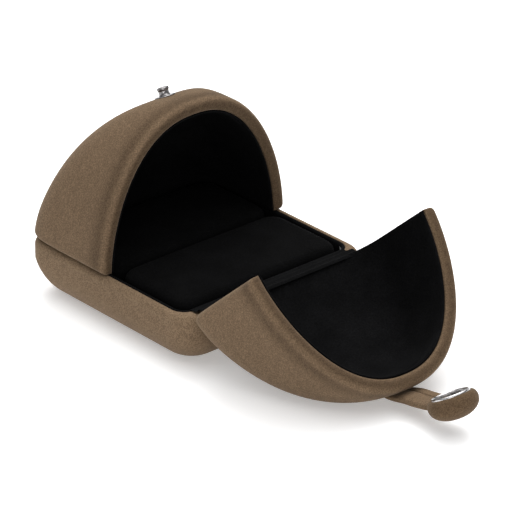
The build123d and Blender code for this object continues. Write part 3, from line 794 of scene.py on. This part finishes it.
def axis_loop(radius, height, count, on_strap, x_middle=0.0, along_middle=0.0):
    """A ring round the stud's axis or beside it, on the strap at rest or on the rear door."""
    loop = []
    for i in range(count):
        a = 2 * math.pi * i / count
        place = stud_point(along_middle + radius * math.sin(a), height)
        y, z = lifted(place) if on_strap else place
        loop.append((x_middle + radius * math.cos(a), y, z))
    return open_front(np.array(loop)) if on_strap else np.array(loop)


def lathe(profile, n, count=72, on_strap=True):
    """n rings round the stud's axis, along a profile of (radius, height)."""
    return [axis_loop(max(r, 0.0), h, count, on_strap) for r, h in smooth_line(profile, n)]


# profiles as (radius, height) over the stud's seat
STUD_PROFILE = [
    (3.2, -0.3), (3.4, 0.05), (3.2, 0.28), (2.5, 0.34), (1.95, 0.42), (1.78, 0.7), (1.7, 1.2),
    (1.7, 1.7), (1.78, 2.0), (1.93, 2.2), (1.97, 2.5), (1.85, 2.85), (1.5, 3.02), (1.16, 2.95),
    (1.0, 2.65), (0.9, 2.1), (0.6, 1.9), (0.0, 1.85),
]
CAP_PROFILE = [
    (5.3, 2.0), (5.85, 1.35), (6.4, 1.12), (6.95, 1.3), (7.5, 1.9), (7.85, 2.9), (7.85, 3.95),
    (7.5, 5.1), (6.75, 6.15), (5.55, 7.1), (3.9, 7.85), (2.0, 8.25), (0.0, 8.35),
]
SOCKET_RIM = [
    (5.4, 2.0), (5.95, 1.85), (6.12, 1.3), (6.1, 0.85), (5.96, 0.58), (5.76, 0.52), (5.58, 0.62),
    (5.48, 0.9),
]
SOCKET_FACE = [
    (5.5, 0.86), (5.0, 0.8), (4.4, 0.76), (3.7, 0.74), (3.25, 0.8), (3.1, 1.1), (3.1, 2.4),
    (3.1, 3.9), (2.9, 4.15), (1.5, 4.15), (0.0, 4.15),
]
DENT_PROFILE = [(0.6, 0.8), (0.5, 0.68), (0.42, 0.7), (0.34, 1.0), (0.0, 1.1)]
DENT_CIRCLE = 4.4
DENT_COUNT = 4
DENT_TURN = 35


def stud_object():
    """The press stud's lower half: a thin flange, a thick barrel and a dimpled ring head."""
    loops = lathe(STUD_PROFILE, 70, 64, on_strap=False)
    obj = loops_object("stud", loops, stud_metal)
    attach(obj, "rear_door")
    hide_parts("snap_stud")


def cap_object():
    """The suede cap over the press stud's upper half."""
    obj = loops_object("cap", lathe(CAP_PROFILE, 52), shaded_cap_cloth)
    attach(obj, "strap")
    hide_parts("cap_suede_cover", "cap_button")


def socket_object():
    """The press stud's upper half: a bright rolled rim round a stippled face with four dents."""
    obj = loops_object("socket_rim", lathe(SOCKET_RIM, 30, 96), snap_metal)
    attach(obj, "strap")
    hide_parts("snap_socket")
    inner = loops_object("socket_face", lathe(SOCKET_FACE, 44, 96), stippled_metal)
    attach(inner, "strap")
    # the dents are shallow, and their dark metal paints the shade of holes
    for k in range(DENT_COUNT):
        a = math.radians(DENT_TURN + 360 // DENT_COUNT * k)
        x, along = DENT_CIRCLE * math.cos(a), DENT_CIRCLE * math.sin(a)
        loops = [axis_loop(r, h, 20, True, x, along) for r, h in DENT_PROFILE]
        dent = loops_object("socket_dent_%d" % (k + 1), loops, dent_shade_metal)
        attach(dent, "strap")


strap_object()
stud_object()
cap_object()
socket_object()

# ---- floor, in metres --------------------------------------------------------------
FLOOR_HALF = 6
scene = bpy.context.scene
floor_mesh = bpy.data.meshes.new("floor")
floor_corners = [(FLOOR_HALF * x, FLOOR_HALF * y, 0) for x, y in ((-1, -1), (1, -1), (1, 1), (-1, 1))]
floor_mesh.from_pydata(floor_corners, [], [(0, 1, 2, 3)])
floor = bpy.data.objects.new("floor", floor_mesh)
scene.collection.objects.link(floor)
floor_look = bpy.data.materials.new("floor")
floor_look.use_nodes = True
# painted light: the floor also glows, which lightens the shadows on it and lights the box from below
set_inputs(floor_look.node_tree.nodes["Principled BSDF"], {
    "Base Color": (0.92, 0.92, 0.92, 1),
    "Roughness": 0.9,
    "Emission Color": (1, 1, 1, 1),
    "Emission Strength": 0.3,
})
floor_mesh.materials.append(floor_look)

# ---- world light: one for the camera, one for soft light, one for gloss -------------
# tones over the height of the sky, lowest first
SOFT_SKY = [(0.0, grey(0.10)), (0.4, grey(0.2)), (0.75, (0.7, 0.71, 0.73)), (1.0, grey(1))]
GLOSS_SKY = [(0.0, grey(0.3)), (0.2, grey(1.0)), (0.36, grey(0.10)), (0.52, grey(0.12)),
             (0.64, grey(1.2)), (1.0, grey(0.7))]
world = bpy.data.worlds.new("studio")
scene.world = world
world.use_nodes = True
tree = world.node_tree
white = tree.nodes["Background"]
set_inputs(white, {"Color": (1, 1, 1, 1), "Strength": 1.0})
rays = tree.nodes.new("ShaderNodeLightPath")
sky = tree.nodes.new("ShaderNodeTexCoord")
sky_height = tree.nodes.new("ShaderNodeSeparateXYZ")
tree.links.new(sky.outputs["Generated"], sky_height.inputs[0])


def sky_light(tones):
    """A background whose tone changes with the height of the sky."""
    light = tree.nodes.new("ShaderNodeBackground")
    light.inputs["Strength"].default_value = 1.0
    tree.links.new(ramp(tree, sky_height.outputs["Z"], tones), light.inputs["Color"])
    return light.outputs[0]


def choose(ray, otherwise, chosen):
    """One background for a kind of ray and another for the rest."""
    n = tree.nodes.new("ShaderNodeMixShader")
    tree.links.new(rays.outputs[ray], n.inputs[0])
    tree.links.new(otherwise, n.inputs[1])
    tree.links.new(chosen, n.inputs[2])
    return n.outputs[0]


lit = choose("Is Glossy Ray", sky_light(SOFT_SKY), sky_light(GLOSS_SKY))
seen = choose("Is Camera Ray", lit, white.outputs[0])
tree.links.new(seen, tree.nodes["World Output"].inputs["Surface"])


# ---- lamps, in metres and watts ----------------------------------------------------
def area_light(name, place, target, size, power):
    """A rectangular lamp turned towards its target."""
    data = bpy.data.lights.new(name, "AREA")
    data.shape = "RECTANGLE"
    data.size, data.size_y = size
    data.energy = power
    obj = bpy.data.objects.new(name, data)
    obj.location = place
    direction = Vector(target) - Vector(place)
    obj.rotation_euler = direction.to_track_quat("-Z", "Y").to_euler()
    scene.collection.objects.link(obj)


area_light("key", place=(0.5, 0.45, 1.2), target=(0, -0.03, 0.02), size=(1.1, 1.1), power=13.0)
area_light("top", place=(-0.1, -0.1, 1.4), target=(0, -0.03, 0.02), size=(2.0, 2.0), power=13.0)
area_light("low", place=(-0.7, -0.9, 0.35), target=(0, -0.03, 0.01), size=(0.8, 0.3), power=2.5)

# ---- camera ------------------------------------------------------------------------
CAMERA_PLACE = (-0.66329, -0.76551, 0.52445)
CAMERA_LENS = 253.665
CAMERA_AZIMUTH = math.radians(-41.974)
CAMERA_RISE = math.radians(26.729)
CAMERA_ROLL = math.radians(0.519)
camera_data = bpy.data.cameras.new("camera")
camera = bpy.data.objects.new("camera", camera_data)
scene.collection.objects.link(camera)
scene.camera = camera
camera_data.sensor_width = 36.0
camera_data.lens = CAMERA_LENS
camera_data.clip_end = 20.0
level_right = np.array([math.cos(CAMERA_AZIMUTH), math.sin(CAMERA_AZIMUTH), 0.0])
back = np.array([math.sin(CAMERA_AZIMUTH) * math.cos(CAMERA_RISE),
                 -math.cos(CAMERA_AZIMUTH) * math.cos(CAMERA_RISE), math.sin(CAMERA_RISE)])
level_up = np.cross(back, level_right)
right = level_right * math.cos(CAMERA_ROLL) + level_up * math.sin(CAMERA_ROLL)
up = level_up * math.cos(CAMERA_ROLL) - level_right * math.sin(CAMERA_ROLL)
turn = Matrix(np.column_stack([right, up, back]).tolist())
camera.matrix_world = Matrix.Translation(CAMERA_PLACE) @ turn.to_4x4()

scene.view_settings.view_transform = "Standard"
